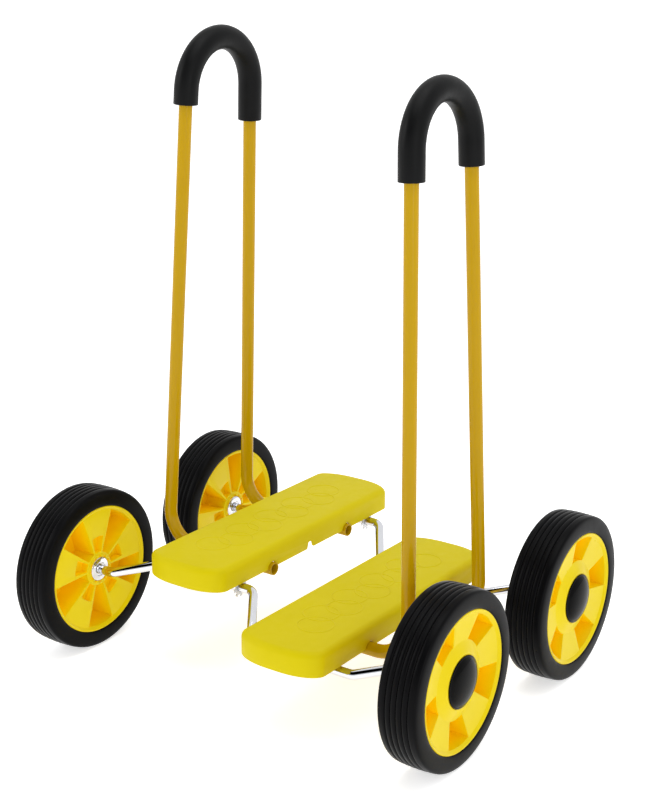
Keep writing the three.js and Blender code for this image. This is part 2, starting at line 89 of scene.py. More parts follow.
NOTCH_DEPTH = 1.5 * MM
NUT_WELL = 18.5 * MM  # radius of the well that the axle nut turns in
NUT_SEAT = 12.2 * MM  # the well's floor
SPOKES_AT_REST = 19.5  # degrees from the drawn rim to one whose spokes are not turned
SPOKE_TURN = {"front_left": 7.4, "front_right": 28, "rear_left": 36, "rear_right": -3}

ROD_RADIUS = 5.5 * MM
ROD_BEND = 15 * MM
ROD_END = 259.9 * MM
HUB_CORNER = 204 * MM
OUTER_PIN_CORNER = 149 * MM
INNER_PIN_CORNER = 18 * MM

BOARD_WIDTH = 104.6 * MM
BOARD_LENGTH = 354 * MM
BOARD_HEIGHT = 26.5 * MM
BOARD_WALL = 3 * MM
CORNER_ACROSS = 44 * MM
CORNER_ALONG = 21 * MM
TOP_EDGE = 7.5 * MM  # radius round the top
NOTCH_HALF = 7 * MM  # notch in the inner skirt
NOTCH_HEIGHT = 8 * MM
RIB_HALF = 1.2 * MM
RIB_FOOT = -12 * MM
BOSS_RADIUS = 5.2 * MM
RING_RADIUS = 19.5 * MM  # moulded rings on the tread
RING_PITCH = 27 * MM
RING_SWAY = 6 * MM
TOP_ABOVE_PIN = 33.5 * MM

TUBE_RADIUS = 7.5 * MM
TUBE_WALL = 1.5 * MM
LEG_LOW = 74.1 * MM  # from the leg to the middle, at the run under the board
LEG_TOP = 56.8 * MM  # the same at the foot of the arch
TUBE_OUT_LOW = 99.5 * MM
TUBE_OUT_TOP = 77.9 * MM
TUBE_BELOW = 27.4 * MM
ARCH_ABOVE = 495 * MM
TUBE_BEND = 38 * MM
GRIP_RADIUS = 13.6 * MM
GRIP_PAST = 28 * MM
GRIP_SHIFT = {"left": 13.5 * MM, "right": 1.5 * MM}
TUBE_END_PAST = 2.9 * MM  # how far the open ends stand past the inner skirt

BOSS_PLANE = -21 * MM
STRAP_THICKNESS = 1.6 * MM
STRAP_HALF = 7 * MM
STRAP_REACH = 20 * MM
STRAP_INSET = 10 * MM  # the straps' place across the board
EAR_THICKNESS = 4 * MM
BEARING_HALF = 22 * MM
BEARING_RADIUS = 9.5 * MM
BEARING_INSET = -4 * MM
BEARING_BORE = 6.1 * MM
SCREW_HEAD = 4 * MM
SCREW_SHANK = 1.9 * MM
CLIP_TEETH = 8
CLIP_RADIUS = 8.6 * MM
CLIP_INSET = 6 * MM  # from the board's inner edge
PIN_SPACING = 126.2 * MM  # from a board's middle to each of its pins

# ------------------------------------------------------------------ bench work


def deselect():
    for obj in bpy.context.selected_objects:
        obj.select_set(False)


def hold(obj):
    """Makes obj the one thing that is selected."""
    deselect()
    obj.select_set(True)
    bpy.context.view_layer.objects.active = obj


def begin(name, primitive, **settings):
    """A primitive at its size and place, open in edit mode with all of it selected."""
    deselect()
    primitive(**settings)
    obj = bpy.context.object
    obj.name = obj.data.name = name
    bpy.ops.object.transform_apply(location=True, rotation=True, scale=True)
    bpy.ops.object.mode_set(mode="EDIT")
    bpy.ops.mesh.select_mode(type="VERT")
    bpy.ops.mesh.select_all(action="SELECT")
    return obj


def pick(obj, kind, test):
    """Selects only the verts, edges or faces that pass the test."""
    bpy.ops.mesh.select_mode(type={"verts": "VERT", "edges": "EDGE", "faces": "FACE"}[kind])
    bpy.ops.mesh.select_all(action="DESELECT")
    mesh = bmesh.from_edit_mesh(obj.data)
    for item in getattr(mesh, kind):
        if test(item):
            item.select_set(True)
    bmesh.update_edit_mesh(obj.data)


def push(offset):
    bpy.ops.mesh.extrude_region_move(TRANSFORM_OT_translate={"value": tuple(offset)})


def middle(item):
    return sum((v.co for v in item.verts), Vector()) / len(item.verts)


def close_up():
    bpy.ops.mesh.select_mode(type="VERT")
    bpy.ops.mesh.select_all(action="SELECT")
    bpy.ops.mesh.remove_doubles(threshold=0.001 * MM)
    bpy.ops.mesh.normals_make_consistent(inside=False)
    bpy.ops.object.mode_set(mode="OBJECT")


def modify(obj, kind, **settings):
    hold(obj)
    modifier = obj.modifiers.new(kind.lower(), kind)
    for key, value in settings.items():
        setattr(modifier, key, value)
    bpy.ops.object.modifier_apply(modifier=modifier.name)


def soften(obj, width, segments=2, angle=35, smooth=40):
    """Rounds the sharp edges a little and shades the rest smooth."""
    if width:
        limit = math.radians(angle)
        modify(obj, "BEVEL", width=width, segments=segments, limit_method="ANGLE", angle_limit=limit)
    hold(obj)
    bpy.ops.object.shade_smooth_by_angle(angle=math.radians(smooth))
    return obj


def cut(obj, cutter, operation="DIFFERENCE"):
    modify(obj, "BOOLEAN", object=cutter, operation=operation, solver="EXACT")
    bpy.data.objects.remove(cutter)


def join(*parts):
    hold(parts[0])
    for part in parts[1:]:
        part.select_set(True)
    bpy.ops.object.join()
    return parts[0]


def block(name, low, high):
    """A box between two corners."""
    low, high = Vector(low), Vector(high)
    box = begin(name, bpy.ops.mesh.primitive_cube_add, size=1, location=(low + high) / 2, scale=high - low)
    bpy.ops.object.mode_set(mode="OBJECT")
    return box


def bar(name, centre, radius, length, axis="Z", sides=32):
    turn = {"X": (0, math.pi / 2, 0), "Y": (math.pi / 2, 0, 0), "Z": (0, 0, 0)}[axis]
    obj = begin(name, bpy.ops.mesh.primitive_cylinder_add, vertices=sides, radius=radius, depth=length,
                location=centre, rotation=turn)
    bpy.ops.object.mode_set(mode="OBJECT")
    return obj


def turned(name, profile, steps):
    """Draws (along X, radius) points as a chain of edges, back to the first, and spins it about X."""
    obj = begin(name, bpy.ops.mesh.primitive_plane_add, size=MM)
    bpy.ops.mesh.merge(type="CENTER")
    points = [Vector((x, 0, r)) for x, r in profile]
    bpy.ops.transform.translate(value=points[0])
    for here, there in zip(points, points[1:]):
        bpy.ops.mesh.extrude_vertices_move(TRANSFORM_OT_translate={"value": tuple(there - here)})
    bpy.ops.mesh.select_all(action="SELECT")
    bpy.ops.mesh.spin(steps=steps, angle=-math.tau, center=(0, 0, 0), axis=(1, 0, 0))
    close_up()
    return obj


def placed(pattern, name, matrix):
    """A copy of a finished pattern, with a mesh of its own, moved to its place."""
    piece = pattern.copy()
    piece.data = pattern.data.copy()
    piece.name = piece.data.name = name
    bpy.context.scene.collection.objects.link(piece)
    piece.data.transform(matrix)
    return piece


def fit(piece, body, slot, material, *nodes):
    """Gives a piece its material and its body, and hides the CAD nodes that it stands for. The slot is not
    used.
    """
    piece.data.materials.clear()
    piece.data.materials.append(material)
    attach(piece, body)
    if nodes:
        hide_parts(*nodes)


# ------------------------------------------------------------------ bent bars


def ring_start(name, start, towards, radius, sides):
    turn = (towards - start).to_track_quat("Z", "Y").to_euler()
    return begin(name, bpy.ops.mesh.primitive_circle_add, vertices=sides, radius=radius,
                 location=start, rotation=turn)


def spin_ring(pivot, axis, angle, steps):
    bpy.ops.mesh.spin(steps=steps, angle=-angle, center=pivot, axis=axis)


def bend(here, before, corner, after, radius, steps):
    """Runs the ring up to a corner and round its bend. Returns where the ring's middle then is."""
    into = (corner - before).normalized()
    out = (after - corner).normalized()
    angle = into.angle(out)
    start = corner - into * radius * math.tan(angle / 2)
    push(start - here)
    axis = into.cross(out).normalized()
    spin_ring(start + axis.cross(into) * radius, axis, angle, steps)
    return corner + out * radius * math.tan(angle / 2)


def bent_rod(name, corners, radius, bend_radius, sides=28, steps=12):
    rod = ring_start(name, corners[0], corners[1], radius, sides)
    here = corners[0]
    for before, corner, after in zip(corners, corners[1:], corners[2:]):
        here = bend(here, before, corner, after, bend_radius, steps)
    push(corners[-1] - here)
    bpy.ops.mesh.select_all(action="SELECT")
    bpy.ops.mesh.fill_holes(sides=0)
    close_up()
    return rod


# ------------------------------------------------------------------ material groups


def new_group(name, inputs, outputs):
    group = bpy.data.node_groups.new(name, "ShaderNodeTree")
    for label, kind, value in inputs:
        socket = group.interface.new_socket(label, in_out="INPUT", socket_type=kind)
        socket.default_value = value
    for label, kind in outputs:
        group.interface.new_socket(label, in_out="OUTPUT", socket_type=kind)
    source = group.nodes.new("NodeGroupInput")
    sink = group.nodes.new("NodeGroupOutput")
    return group, source, sink


def node(tree, kind, links=None, **settings):
    """Adds a node. links maps its input names or numbers to values or to other nodes' outputs."""
    made = tree.nodes.new(kind)
    for key, value in settings.items():
        setattr(made, key, value)
    for key, value in (links or {}).items():
        if isinstance(value, bpy.types.NodeSocket):
            tree.links.new(value, made.inputs[key])
        else:
            made.inputs[key].default_value = value
    return made


def noise(tree, where, scale, detail=3, rough=0.55):
    made = node(tree, "ShaderNodeTexNoise", {"Scale": scale, "Detail": detail, "Roughness": rough})
    tree.links.new(where, made.inputs["Vector"])
    return made.outputs["Fac"]


def ramp(tree, value, low, high, to_low=0.0, to_high=1.0):
    made = node(tree, "ShaderNodeMapRange", {"Value": value, "From Min": low, "From Max": high,
                                             "To Min": to_low, "To Max": to_high})
    return made.outputs["Result"]


def mix_colour(tree, factor, a, b):
    made = node(tree, "ShaderNodeMix", data_type="RGBA")
    tree.links.new(factor, made.inputs["Factor"])
    for label, value in (("A", a), ("B", b)):
        socket = [s for s in made.inputs if s.name == label and s.type == "RGBA"][0]
        if isinstance(value, bpy.types.NodeSocket):
            tree.links.new(value, socket)
        else:
            socket.default_value = value
    return [s for s in made.outputs if s.type == "RGBA"][0]


def cloudy_group():
    """Slow change of colour and roughness over a surface."""
    group, source, sink = new_group(
        "cloudy_surface",
        [("Colour", "NodeSocketColor", (0.8, 0.8, 0.8, 1)),
         ("Deep Colour", "NodeSocketColor", (0.7, 0.7, 0.7, 1)),
         ("Scale", "NodeSocketFloat", 12.0),
         ("Smooth", "NodeSocketFloat", 0.3),
         ("Dull", "NodeSocketFloat", 0.45)],
        [("Colour", "NodeSocketColor"), ("Roughness", "NodeSocketFloat")])
    where = node(group, "ShaderNodeTexCoord").outputs["Object"]
    cloud = ramp(group, noise(group, where, source.outputs["Scale"], 4), 0.32, 0.68)
    smear = noise(group, where, 95.0, 5, 0.65)
    both = node(group, "ShaderNodeMath", {0: cloud, 1: smear}, operation="MULTIPLY").outputs[0]
    group.links.new(mix_colour(group, both, source.outputs["Colour"], source.outputs["Deep Colour"]),
                    sink.inputs["Colour"])
    rough = node(group, "ShaderNodeMapRange", {"Value": smear, "From Min": 0.25, "From Max": 0.75,
                                               "To Min": source.outputs["Smooth"],
                                               "To Max": source.outputs["Dull"]})
    group.links.new(rough.outputs["Result"], sink.inputs["Roughness"])
    return group


def grain_group():
    """Fine grain as a height, from cells and noise."""
    group, source, sink = new_group(
        "fine_grain", [("Scale", "NodeSocketFloat", 900.0), ("Pits", "NodeSocketFloat", 0.5)],
        [("Height", "NodeSocketFloat")])
    where = node(group, "ShaderNodeTexCoord").outputs["Object"]
    grain = noise(group, where, source.outputs["Scale"], 2, 0.6)
    cells = node(group, "ShaderNodeTexVoronoi", {"Vector": where, "Scale": source.outputs["Scale"]})
    pits = node(group, "ShaderNodeMath", {0: cells.outputs["Distance"], 1: source.outputs["Pits"]},
                operation="MULTIPLY").outputs[0]
    height = node(group, "ShaderNodeMath", {0: grain, 1: pits}, operation="ADD").outputs[0]
    group.links.new(height, sink.inputs["Height"])
    return group


def edge_group():
    """A mask that is 1 along worn, outward edges and 0 elsewhere."""
    group, source, sink = new_group(
        "edge_wear", [("Amount", "NodeSocketFloat", 0.5)], [("Mask", "NodeSocketFloat")])
    geometry = node(group, "ShaderNodeNewGeometry")
    edge = ramp(group, geometry.outputs["Pointiness"], 0.53, 0.62)
    where = node(group, "ShaderNodeTexCoord").outputs["Object"]
    broken = ramp(group, noise(group, where, 140.0, 4, 0.7), 0.4, 0.65)
    worn = node(group, "ShaderNodeMath", {0: edge, 1: broken}, operation="MULTIPLY").outputs[0]
    scaled = node(group, "ShaderNodeMath", {0: worn, 1: source.outputs["Amount"]}, operation="MULTIPLY")
    group.links.new(scaled.outputs[0], sink.inputs["Mask"])
    return group


CLOUDY = cloudy_group()
GRAIN = grain_group()
EDGES = edge_group()


def finish_of(name, colour, deep, smooth, dull, cloud=12.0, grain=900.0, pits=0.4, depth=0.02,
              wear=0.0, worn=None, painted_hollow_light=None, painted_hollow_reach=0.02, **constants):
    """A material: cloudy colour and roughness, worn edges, a colour painted into hollows from ambient
    occlusion as painted shade and painted bounce light, fine grain as bump.
    """
    material = bpy.data.materials.new(name)
    material.use_nodes = True
    tree = material.node_tree
    shader = tree.nodes["Principled BSDF"]
    for label, value in constants.items():
        shader.inputs[label.replace("_", " ")].default_value = value
    surface = node(tree, "ShaderNodeGroup", node_tree=CLOUDY)
    surface.inputs["Colour"].default_value = (*colour, 1)
    surface.inputs["Deep Colour"].default_value = (*deep, 1)
    surface.inputs["Scale"].default_value = cloud
    surface.inputs["Smooth"].default_value = smooth
    surface.inputs["Dull"].default_value = dull
    edges = node(tree, "ShaderNodeGroup", node_tree=EDGES)
    edges.inputs["Amount"].default_value = wear
    shown = mix_colour(tree, edges.outputs["Mask"], surface.outputs["Colour"], (*(worn or colour), 1))
    # Painted light and shade: an ambient-occlusion mask mixes a set colour into hollows, painted shade
    # where it is darker and painted bounce light where it is brighter and more orange.
    if painted_hollow_light:
        closed_in = node(tree, "ShaderNodeAmbientOcclusion", {"Distance": painted_hollow_reach}, samples=8)
        painted_hollow_mask = ramp(tree, closed_in.outputs["AO"], 0.25, 0.8, 1.0, 0.0)
        shown = mix_colour(tree, painted_hollow_mask, shown, (*painted_hollow_light, 1))
    tree.links.new(shown, shader.inputs["Base Color"])
    tree.links.new(surface.outputs["Roughness"], shader.inputs["Roughness"])
    texture = node(tree, "ShaderNodeGroup", node_tree=GRAIN)
    texture.inputs["Scale"].default_value = grain
    texture.inputs["Pits"].default_value = pits
    bump = node(tree, "ShaderNodeBump", {"Height": texture.outputs["Height"], "Strength": 0.35,
                                         "Distance": depth * MM})
    tree.links.new(bump.outputs["Normal"], shader.inputs["Normal"])
    return material


# The darker orange mixed into the board's hollows is painted shade.
BOARD_YELLOW = finish_of("board_yellow", (0.62, 0.515, 0.002), (0.58, 0.48, 0.001), 0.42, 0.58, cloud=9,
                         grain=1100, depth=0.04, painted_hollow_light=(0.60, 0.38, 0.0), painted_hollow_reach=0.03,
                         Specular_IOR_Level=0.07)
# The bright orange mixed into the rim's pockets is painted bounce light, standing in for light reflected
# between the yellow walls.
RIM_YELLOW = finish_of("rim_yellow", (0.70, 0.55, 0.0), (0.66, 0.51, 0.0), 0.26, 0.40, cloud=18,
                       grain=1600, depth=0.012, painted_hollow_light=(1.0, 0.64, 0.0), painted_hollow_reach=0.045,
                       Specular_IOR_Level=0.12)
POWDER_COAT = finish_of("golden_powder_coat", (0.46, 0.275, 0.0), (0.44, 0.26, 0.0), 0.14, 0.22, cloud=8,
                        grain=1500, pits=0.0, depth=0.003, Specular_IOR_Level=0.09, Coat_Weight=0.12,
                        Coat_Roughness=0.05)
TYRE_BLACK = finish_of("tyre_rubber", (0.0022, 0.0022, 0.0025), (0.004, 0.004, 0.0045), 0.26, 0.40,
                       cloud=22, grain=800, depth=0.03, wear=0.3, worn=(0.012, 0.012, 0.012),
                       Specular_IOR_Level=0.05)
FOAM_BLACK = finish_of("closed_cell_foam", (0.0022, 0.0024, 0.0026), (0.004, 0.004, 0.0045), 0.36, 0.50,
                       cloud=30, grain=520, pits=1.0, depth=0.08, Specular_IOR_Level=0.11)
CAP_BLACK = finish_of("polished_black", (0.002, 0.002, 0.002), (0.003, 0.003, 0.003), 0.05, 0.10, cloud=25,
                      grain=700, depth=0.002, Specular_IOR_Level=0.06)
CHROME = finish_of("bright_chrome", (0.72, 0.73, 0.76), (0.64, 0.65, 0.68), 0.03, 0.09, cloud=30,
                   grain=300, pits=0.0, depth=0.002, Metallic=1.0)
ZINC = finish_of("zinc_plate", (0.60, 0.61, 0.64), (0.46, 0.46, 0.49), 0.26, 0.46, cloud=60,
                 grain=1400, depth=0.02, wear=0.4, worn=(0.72, 0.72, 0.72), Metallic=1.0)
NYLON = finish_of("moulded_nylon", (0.012, 0.012, 0.013), (0.02, 0.02, 0.021), 0.45, 0.6, cloud=40,
                  grain=1300, depth=0.03, wear=0.4, worn=(0.05, 0.05, 0.05))

# ------------------------------------------------------------------ wheel


def tread_radius(x):
    return TREAD_RADIUS - TREAD_CROWN * (x / TREAD_HALF) ** 2


def make_tyre():
    """Ribbed tread, tight shoulders, flat sidewalls, and beads between the rim's lips."""
    pitch = 2 * TREAD_HALF / (GROOVES + 1)
    tread = []
    for n in range(GROOVES + 1):
        x = (n - (GROOVES - 1) / 2) * pitch
        tread.append((x - pitch / 2, tread_radius(x - pitch / 2) + RIB_RISE))
        if n < GROOVES:
            tread.append((x - GROOVE_HALF * 2, tread_radius(x)))
            tread.append((x - GROOVE_HALF, tread_radius(x) - GROOVE_LIP))
            tread.append((x, tread_radius(x) - GROOVE_DEPTH))
            tread.append((x + GROOVE_HALF, tread_radius(x) - GROOVE_LIP))
            tread.append((x + GROOVE_HALF * 2, tread_radius(x)))
    shoulder = [(19.2, 93.8), (20.1, 93.6), (20.9, 93.1), (21.6, 92.2), (22.1, 90.8), (22.5, 88.2)]
    sidewall = [(22.7, 85.0), (22.8, 81.5), (22.6, 78.0), (22.2, 75.9)]
    bead = [(21.6, 75.3), (19.4, 75.3), (19.4, 72.4)]
    right = [(x * MM, r * MM) for x, r in shoulder + sidewall + bead]
    left = [(-x, r) for x, r in reversed(right)]
    profile = left + tread + right
    tyre = turned("tyre", profile + profile[:1], TYRE_STEPS)
    return soften(tyre, 0, smooth=50)


def lip_points(side):
    """One lip, from the barrel's mouth round to the tyre's seat."""
    points = [
        (RIM_HALF - 0.6 * MM, BARREL_RADIUS + LIP_FLARE),
        (RIM_HALF, LIP_RADIUS - 1.2 * MM),
        (RIM_HALF, LIP_RADIUS - 0.6 * MM),
        (RIM_HALF - 0.5 * MM, LIP_RADIUS),
        (RIM_HALF - LIP_THICKNESS, LIP_RADIUS),
        (RIM_HALF - LIP_THICKNESS, SEAT_RADIUS),
    ]
    return [(side * x, r) for x, r in points]


def rim_profile():
    """Section of the rim from its bore over the inner side and both lips to the hub's outer side."""
    bore = ROD_RADIUS + GAP
    ring_top = INNER_FACE - RING_HEIGHT
    inner_side = [
        (0, bore), (INNER_FACE, bore), (INNER_FACE, RING_INSIDE), (ring_top, RING_INSIDE + 0.2 * MM),
        (ring_top, RING_OUTSIDE - 0.8 * MM), (INNER_FACE, RING_OUTSIDE), (INNER_FACE, HUB_RADIUS),
        (INNER_FACE, RECESS_RADIUS), (INNER_FACE, POCKET_RADIUS), (INNER_FACE, BARREL_RADIUS),
    ]
    dish = [
        (DISH_RIM, BARREL_RADIUS), (DISH_RIM, POCKET_RADIUS), (CONE_FOOT, CONE_RADIUS + 1.5 * MM),
        (CONE_FOOT + 0.4 * MM, CONE_RADIUS - 0.5 * MM),
    ]
    cone = [
        (CONE_FOOT + 2.6 * MM, 36 * MM), (CONE_TOP - 0.9 * MM, 30.6 * MM), (CONE_TOP, 29.2 * MM),
        (CONE_TOP, 28.2 * MM), (CONE_TOP - 0.8 * MM, 27.9 * MM), (CONE_TOP - 0.8 * MM, NUT_WELL),
        (NUT_SEAT, NUT_WELL), (NUT_SEAT, bore), (0, bore),
    ]
    return inner_side + lip_points(-1) + lip_points(1)[::-1] + dish + cone


def make_rim():
    """Barrel with two lips, conical hub and a stepped web: pockets on each side between the other's."""
    rim = turned("rim", rim_profile(), RIM_STEPS)
    per_sector = RIM_STEPS // SECTORS
    half_sector = per_sector // 2

    def place_of(face):
        centre = middle(face)
        turn = math.atan2(-centre.y, centre.z) % math.tau
        return int(turn / math.tau * RIM_STEPS), centre.x, math.hypot(centre.y, centre.z)

    def outer_pocket(face):
        step, x, r = place_of(face)
        on_web = x > CONE_FOOT and CONE_RADIUS + 2 * MM < r < POCKET_RADIUS
        return on_web and step % per_sector < half_sector - 1

    def on_inner_face(x, r, outside):
        return abs(x - INNER_FACE) < 0.1 * MM and HUB_RADIUS < r < outside

    def inner_pocket(face):
        step, x, r = place_of(face)
        return on_inner_face(x, r, POCKET_RADIUS) and half_sector <= step % per_sector < 2 * half_sector - 1

    def hub_recess(face):
        step, x, r = place_of(face)
        return on_inner_face(x, r, RECESS_RADIUS) and 1 <= step % per_sector <= 9

    def ring_notch(face):
        step, x, r = place_of(face)
        return x < INNER_FACE - MM and RING_INSIDE < r < RING_OUTSIDE and step % 10 < 4

    bpy.ops.object.mode_set(mode="EDIT")
    hollows = (
        (outer_pocket, OUTER_FLOOR - CONE_FOOT),
        (inner_pocket, INNER_CEILING - INNER_FACE),
        (hub_recess, RECESS_DEPTH),
        (ring_notch, NOTCH_DEPTH),
    )
    for chosen, depth in hollows:
        pick(rim, "faces", chosen)
        push((depth, 0, 0))
    bpy.ops.mesh.select_all(action="SELECT")
    bpy.ops.mesh.normals_make_consistent(inside=False)
    bpy.ops.object.mode_set(mode="OBJECT")
    return soften(rim, 0.45 * MM, smooth=45)


def make_cap():
    """Polished dome over the axle nut, with a small step round its foot."""
    seat = CONE_TOP + GAP
    dome = [(7.6, 0), (7.5, 4), (7.15, 9), (6.4, 14), (5.3, 18.5), (3.9, 22.3), (2.5, 24.7), (1.3, 25.9)]
    foot = [(1.1, 26.3), (1.0, 27.2), (0.6, 27.7), (0.05, 27.7)]
    inside = [(0.05, 24.5), (2.4, 17), (3.4, 0)]
    cap = turned("hub_cap", [(seat + h * MM, r * MM) for h, r in dome + foot + inside], 72)
    return soften(cap, 0, smooth=50)


def make_washer():
    """Chromed drive washer: a flat rim, and a raised middle that dips towards the rod."""
    seat = INNER_FACE - GAP
    shape = [(0, 6.0), (0, 13.3), (-0.5, 13.7), (-1.3, 13.7), (-1.7, 13.2), (-1.9, 11.2), (-2.6, 9.6),
             (-2.6, 8.4), (-1.2, 7.4), (-1.0, 6.0), (0, 6.0)]
    washer = turned("drive_washer", [(seat + x * MM, r * MM) for x, r in shape], 72)
    return soften(washer, 0, smooth=35)


def wheel_place(prefix, turn=0.0):
    low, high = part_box(f"{prefix}_tyre")
    facing = Matrix.Rotation(math.pi, 4, "Z") if "left" in prefix else Matrix.Identity(4)
    return Matrix.Translation((low + high) / 2) @ facing @ Matrix.Rotation(math.radians(turn), 4, "X")


def make_wheels():
    patterns = [
        (make_rim(), "rim_yellow", RIM_YELLOW),
        (make_tyre(), "tyre_rubber", TYRE_BLACK),
        (make_cap(), "gloss_cap", CAP_BLACK),
        (make_washer(), "chrome", CHROME),
    ]
    for end in ENDS:
        for side in SIDES:
            prefix = f"{end}_{side}"
            for pattern, slot, material in patterns:
                kind = pattern.name
                turn = SPOKES_AT_REST + SPOKE_TURN[prefix] if kind == "rim" else 0
                piece = placed(pattern, f"fine_{prefix}_{kind}", wheel_place(prefix, turn))
                fit(piece, f"{end}_crank", slot, material, f"{prefix}_{kind}")
    for pattern, *_ in patterns:
        bpy.data.objects.remove(pattern)


# ------------------------------------------------------------------ crank axles


def pin_offset():
    """From the axle's line to the left pin, read from where the left board stands."""
    low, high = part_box("left_foot_board")
    axle_low, axle_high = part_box("front_crank_axle")
    return Vector((0, (low.y + high.y) / 2, high.z - TOP_ABOVE_PIN - (axle_low.z + axle_high.z) / 2))


def make_axles():
    offset = pin_offset()
    for end in ENDS:
        node_name = f"{end}_crank_axle"
        low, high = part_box(node_name)
        hub = Vector((0, (low.y + high.y) / 2, (low.z + high.z) / 2))

        def at(x, side):
            return hub + offset * side + Vector((x, 0, 0))

        corners = [at(-ROD_END, 0), at(-HUB_CORNER, 0), at(-OUTER_PIN_CORNER, 1), at(-INNER_PIN_CORNER, 1),
                   at(INNER_PIN_CORNER, -1), at(OUTER_PIN_CORNER, -1), at(HUB_CORNER, 0), at(ROD_END, 0)]
        rod = bent_rod(f"fine_{node_name}", corners, ROD_RADIUS, ROD_BEND)
        soften(rod, 0.6 * MM, angle=60)
        fit(rod, f"{end}_crank", "chrome", CHROME, node_name)
        for side in SIDES:
            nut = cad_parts[f"{end}_{side}_axle_nut"]
            nut.data.materials.clear()
            nut.data.materials.append(ZINC)


# ------------------------------------------------------------------ foot board


def make_board():
    """Moulded shell with elliptical corners and a rounded top edge, open underneath."""
    stretch = CORNER_ACROSS / CORNER_ALONG
    board = begin("foot_board", bpy.ops.mesh.primitive_cube_add, size=1, location=(0, 0, -BOARD_HEIGHT / 2),
                  scale=(BOARD_WIDTH, BOARD_LENGTH * stretch, BOARD_HEIGHT))
    pick(board, "edges", lambda e: abs((e.verts[0].co - e.verts[1].co).z) > MM)
    bpy.ops.mesh.bevel(offset=CORNER_ACROSS, segments=14, affect="EDGES")
    bpy.ops.mesh.select_all(action="SELECT")
    bpy.ops.transform.resize(value=(1, 1 / stretch, 1), center_override=(0, 0, 0))

    def round_the_top(edge):
        at_top = min(v.co.z for v in edge.verts) > -MM
        return at_top and any(abs(f.normal.z) < 0.5 for f in edge.link_faces)

    pick(board, "edges", round_the_top)
    bpy.ops.mesh.bevel(offset=TOP_EDGE, segments=7, affect="EDGES")
    pick(board, "faces", lambda f: f.normal.z < -0.9)
    bpy.ops.mesh.delete(type="FACE")
    bpy.ops.object.mode_set(mode="OBJECT")
    modify(board, "SOLIDIFY", thickness=BOARD_WALL, offset=-1, use_even_offset=True)
    for side in (-1, 1):
        at_leg = (0, side * LEG_LOW, -TUBE_BELOW)
        cut(board, bar("saddle", at_leg, TUBE_RADIUS + 2 * GAP, 2 * BOARD_WIDTH, "X", 40))
    half = BOARD_WIDTH / 2
    low = (half - 6 * MM, -NOTCH_HALF, -BOARD_HEIGHT - 2 * MM)
    high = (half + 4 * MM, NOTCH_HALF, -BOARD_HEIGHT + NOTCH_HEIGHT)
    notch = block("notch", low, high)
    bpy.ops.object.mode_set(mode="EDIT")
    pick(notch, "faces", lambda f: f.normal.z > 0.9)
    bpy.ops.transform.resize(value=(1, 0.55, 1))
    bpy.ops.object.mode_set(mode="OBJECT")
    cut(board, notch)
    return soften(board, 0.35 * MM, angle=50, smooth=35)


def make_ribs():
    """Ribs and screw bosses under the board."""
    top = -BOARD_WALL + 0.5 * MM
    across = BOARD_WIDTH / 2 - BOARD_WALL + 0.3 * MM
    along = BOARD_LENGTH / 2 - 16 * MM
    parts = []
    for x in (-24 * MM, 24 * MM):
        parts.append(block("ribs", (x - RIB_HALF, -along, RIB_FOOT), (x + RIB_HALF, along, top)))
    for y in (-160, -40, 0, 40, 160):
        reach = across if abs(y) < 100 else across - 8 * MM
        parts.append(block("rib", (-reach, y * MM - RIB_HALF, RIB_FOOT), (reach, y * MM + RIB_HALF, top)))
    for x, y, _, _ in screw_places():
        parts.append(bar("boss", (x, y, (top + BOSS_PLANE) / 2), BOSS_RADIUS, top - BOSS_PLANE, sides=24))
    return soften(join(*parts), 0.3 * MM, angle=50)


def make_rings():
    """A row of overlapping raised rings on the tread of the board, standing a little out of its top."""
    parts = []
    for n in range(-4, 5):
        sway = RING_SWAY if n % 2 else -RING_SWAY
        ring = begin("rings", bpy.ops.mesh.primitive_torus_add, location=(sway, n * RING_PITCH, -0.02 * MM),
                     major_radius=RING_RADIUS, minor_radius=1.0 * MM, major_segments=56, minor_segments=8)
        bpy.ops.transform.resize(value=(1, 1, 0.4))
        bpy.ops.object.mode_set(mode="OBJECT")
        parts.append(ring)
    return soften(join(*parts), 0, smooth=60)


def screw_places():
    """Where the screws stand under a board: x, y, what they hold and the height of their heads' seat."""
    strap_seat = BOSS_PLANE - GAP - STRAP_THICKNESS
    bearing_seat = BOSS_PLANE - GAP - EAR_THICKNESS
    places = []
    for end in (-1, 1):
        for side in (-1, 1):
            places.append((STRAP_INSET, end * LEG_LOW + side * 15 * MM, "tube", strap_seat))
            places.append((BEARING_INSET, end * PIN_SPACING + side * 16 * MM, "bearing", bearing_seat))
    return places


def make_screw():
    """Pan head with a cross recess, shank upwards. Its seat is at the origin."""
    head = bar("screw", (0, 0, -1.2 * MM), SCREW_HEAD, 2.4 * MM, sides=32)
    bpy.ops.object.mode_set(mode="EDIT")
    pick(head, "edges", lambda e: max(v.co.z for v in e.verts) < -2 * MM)
    bpy.ops.mesh.bevel(offset=1.0 * MM, segments=4, affect="EDGES")
    bpy.ops.object.mode_set(mode="OBJECT")
    for turn in (0, 1):
        size = (2.1 * MM, 0.4 * MM) if turn else (0.4 * MM, 2.1 * MM)
        cut(head, block("slot", (-size[0], -size[1], -3 * MM), (size[0], size[1], -1.2 * MM)))
    shank = bar("shank", (0, 0, 4.5 * MM), SCREW_SHANK, 10 * MM, sides=16)
    return soften(join(head, shank), 0, smooth=35)


